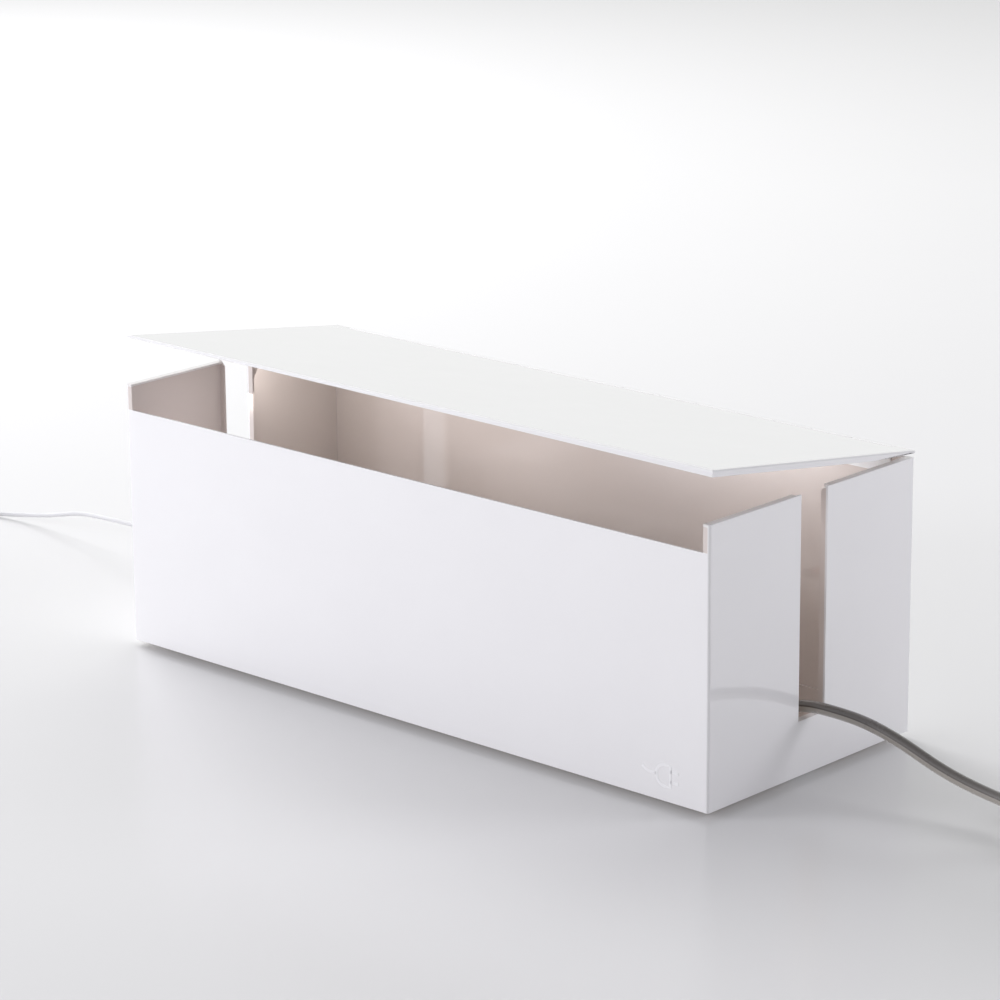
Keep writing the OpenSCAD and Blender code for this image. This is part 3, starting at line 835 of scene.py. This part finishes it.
def make_pictogram():
    """A small raised plug sign in place of the printed mark."""
    lo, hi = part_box("outer_wrap")
    face = lo.y
    cx, cz = hi.x - SIGN_IN, lo.z + SIGN_UP
    bm = bmesh.new()

    def strip(points, width, closed=False):
        pts = [Vector(p) for p in points]
        left, right = [], []
        n = len(pts)
        for i, p in enumerate(pts):
            a = pts[(i - 1) % n] if closed or i else p
            b = pts[(i + 1) % n] if closed or i < n - 1 else p
            d = (b - a).normalized()
            s = Vector((-d.y, d.x)) * width / 2
            left.append(p + s)
            right.append(p - s)
        loops = list(zip(left, right))
        pairs = list(zip(loops, loops[1:])) + ([(loops[-1], loops[0])] if closed else [])
        for (l0, r0), (l1, r1) in pairs:
            quad = [l0, r0, r1, l1]
            vs = [
                [bm.verts.new((cx + q.x * SIGN_SCALE, y, cz + q.y * SIGN_SCALE)) for q in quad]
                for y in (face + SIGN_SUNK, face - SIGN_PROUD)
            ]
            bm.faces.new(vs[1])
            bm.faces.new(list(reversed(vs[0])))
            for k in range(4):
                m = (k + 1) % 4
                bm.faces.new((vs[0][k], vs[0][m], vs[1][m], vs[1][k]))

    arc = [(-0.0045 + 0.0040 * math.cos(math.radians(a)), 0.0040 * math.sin(math.radians(a)))
           for a in range(90, 271, 12)]
    strip(arc + [(-0.0020, -0.0040), (-0.0020, 0.0040)], SIGN_LINE, True)
    for z in (-0.0019, 0.0019):
        strip([(-0.0018, z), (0.0018, z)], SIGN_LINE)
    strip([(-0.0088, 0), (-0.0118, 0), (-0.0135, 0.0006), (-0.0150, 0.0016)], SIGN_LINE)
    bmesh.ops.remove_doubles(bm, verts=bm.verts, dist=WELD)
    bmesh.ops.triangulate(bm, faces=bm.faces)
    return finish_mesh(bm, "plug_sign", "tray", M["print"], weighted=False)


make_pictogram()


# ---------------------------------------------------------------- power strip and charger
refined("strip_base", "tray", M["strip"], 0.5 * MM, 2)
refined("strip_cover", "tray", M["strip"], 0.6 * MM, 3)
refined("socket_inserts", "tray", M["insert"], 0.35 * MM, 3)
refined("switch_frame", "tray", M["bezel"], 0.3 * MM, 3)
refined("switch_rocker", "rocker", M["rocker"], 0.35 * MM, 3)
refined("charger_body", "tray", M["charger"], 2.2 * MM, 5, 60)
refined("charger_port", "tray", M["nickel"], 0.12 * MM, 2)
refined("device_plug", "tray", M["light"], 0.9 * MM, 3, 50)
refined("device_plug_shell", "tray", M["nickel"], 0.15 * MM, 2)
make_pins("charger_pins", "charger_contacts", "z")
for node, key in (
    ("live_bar", "brass"), ("neutral_bar", "brass"), ("earth_bar", "brass"),
    ("live_wire", "brown"), ("neutral_wire", "blue"), ("earth_wire", "green"),
    ("strip_screws", "zinc"),
):
    ob = frame["nodes"][node]
    ob.data.materials.clear()
    ob.data.materials.append(M[key])


# ---------------------------------------------------------------- floor and light
FLOOR_SIZE = 15          # metres from the middle to an edge
FLOOR_TONES = ((0.61, 0.61, 0.615), (0.62, 0.62, 0.625))
FLOOR_GLOW = 0.068
GLOWS = (                # direction, narrowness, strength, tone
    ((-0.6, -0.8, 0.2), 2, 0.880, (1.010, 0.978, 1.020)),
    ((-0.8, -0.55, 0.2), 6, 0.541, (1.015, 1.001, 1.026)),
    ((1, 0, 0.15), 2, 0.328, (0.986, 0.965, 1.026)),
    ((0.6, -0.8, 0.3), 2, 0.119, (1.0, 0.985, 1.015)),
    ((0.85, 0.5, 0.15), 6, 0.643, (1.015, 0.993, 1.070)),
    ((-0.68, 0.73, 0.1), 2, 0.800, (0.997, 1.007, 0.992)),
    ((-0.5, -0.5, 0.7), 2, 0.060, (1.0, 1.0, 1.0)),
)
LAMPS = (                # name, place, aim, width, depth, watts, tone
    ("left_softbox", (-2.0, 0.5, 1.2), (0, 0, 0), 1.2, 1.2, 49.1, (0.995, 0.988, 1.0)),
    ("top_softbox", (-0.8, 1.6, 2.2), (0, 0, 0), 1.6, 1.6, 18.8, (0.993, 1.0, 0.970)),
    ("near_left_softbox", (-0.95, -1.25, 0.5), (0, 0, 0.08), 0.5, 0.5, 9.5, (0.922, 0.935, 1.0)),
    ("near_right_softbox", (1.0, 0.7, 0.6), (0, 0, 0.08), 0.5, 0.5, 4.2, (0.952, 0.948, 1.0)),
    ("inside_fill_left", (-0.10, 0.015, 0.132), (-0.10, 0.0765, 0.100), 0.20, 0.04, 0.043,
     (1.0, 0.967, 0.946)),
    ("inside_fill_right", (0.092, 0.045, 0.144), (0.092, 0.0765, 0.140), 0.15, 0.008, 0.029,
     (0.916, 0.950, 1.0)),
    ("inside_fill_end", (-0.150, -0.045, 0.115), (-0.2, -0.060, 0.12), 0.05, 0.05, 0.0112,
     (0.96, 0.94, 1.0)),
    ("inside_fill_low", (0.12, -0.03, 0.09), (0.185, 0.0765, 0.06), 0.06, 0.06, 0.011,
     (1.0, 0.87, 0.76)),
)


def make_floor():
    """A plain pale floor, a little glossy, with a faint glow of its own."""
    bm = bmesh.new()
    bmesh.ops.create_grid(bm, x_segments=2, y_segments=2, size=FLOOR_SIZE)
    mesh = bpy.data.meshes.new("floor")
    bm.to_mesh(mesh)
    bm.free()
    floor = link("floor", mesh)
    mat, tree, bsdf = node_material("floor_white")
    v = coords(tree)
    cloud = noise(tree, v, 3, 2)
    tree.links.new(ramp(tree, cloud, list(zip((0.2, 0.8), FLOOR_TONES))),
                   bsdf.inputs["Base Color"])
    bsdf.inputs["Roughness"].default_value = 0.22
    bsdf.inputs["IOR"].default_value = 1.45
    bsdf.inputs["Emission Color"].default_value = (0.995, 1.0, 0.995, 1)
    bsdf.inputs["Emission Strength"].default_value = FLOOR_GLOW
    mesh.materials.append(mat)


def area(name, loc, aim, wide, deep, power, tone):
    """A soft rectangular light, unseen itself and in mirrors."""
    data = bpy.data.lights.new(name, "AREA")
    data.shape = "RECTANGLE"
    data.size, data.size_y = wide, deep
    data.energy = power
    data.color = tone
    ob = link(name, data)
    ob.location = loc
    ob.rotation_mode = "QUATERNION"
    ob.rotation_quaternion = (Vector(aim) - Vector(loc)).to_track_quat("-Z", "Y")
    ob.visible_camera = False
    ob.visible_glossy = False


def make_world():
    """A soft white room: broad glows on a dark ground, added together."""
    room = bpy.data.worlds.new("studio")
    scene.world = room
    room.use_nodes = True
    tree = room.node_tree
    ray = add(tree, "ShaderNodeTexCoord").outputs["Generated"]
    total = None
    for way, spread, power, tone in GLOWS:
        dot = add(tree, "ShaderNodeVectorMath", operation="DOT_PRODUCT")
        tree.links.new(ray, dot.inputs[0])
        dot.inputs[1].default_value = Vector(way).normalized()
        front = add(tree, "ShaderNodeMath", operation="MAXIMUM")
        tree.links.new(dot.outputs["Value"], front.inputs[0])
        front.inputs[1].default_value = 0
        glow = add(tree, "ShaderNodeMath", operation="POWER")
        tree.links.new(front.outputs["Value"], glow.inputs[0])
        glow.inputs[1].default_value = spread
        light = add(tree, "ShaderNodeVectorMath", operation="SCALE")
        light.inputs[0].default_value = [c * power for c in tone]
        tree.links.new(glow.outputs["Value"], light.inputs["Scale"])
        if total:
            both = add(tree, "ShaderNodeVectorMath", operation="ADD")
            tree.links.new(total, both.inputs[0])
            tree.links.new(light.outputs["Vector"], both.inputs[1])
            light = both
        total = light.outputs["Vector"]
    tree.links.new(total, tree.nodes["Background"].inputs["Color"])


make_floor()
make_world()
for lamp in LAMPS:
    area(*lamp)
scene.view_settings.view_transform = "Standard"
scene.view_settings.look = "None"
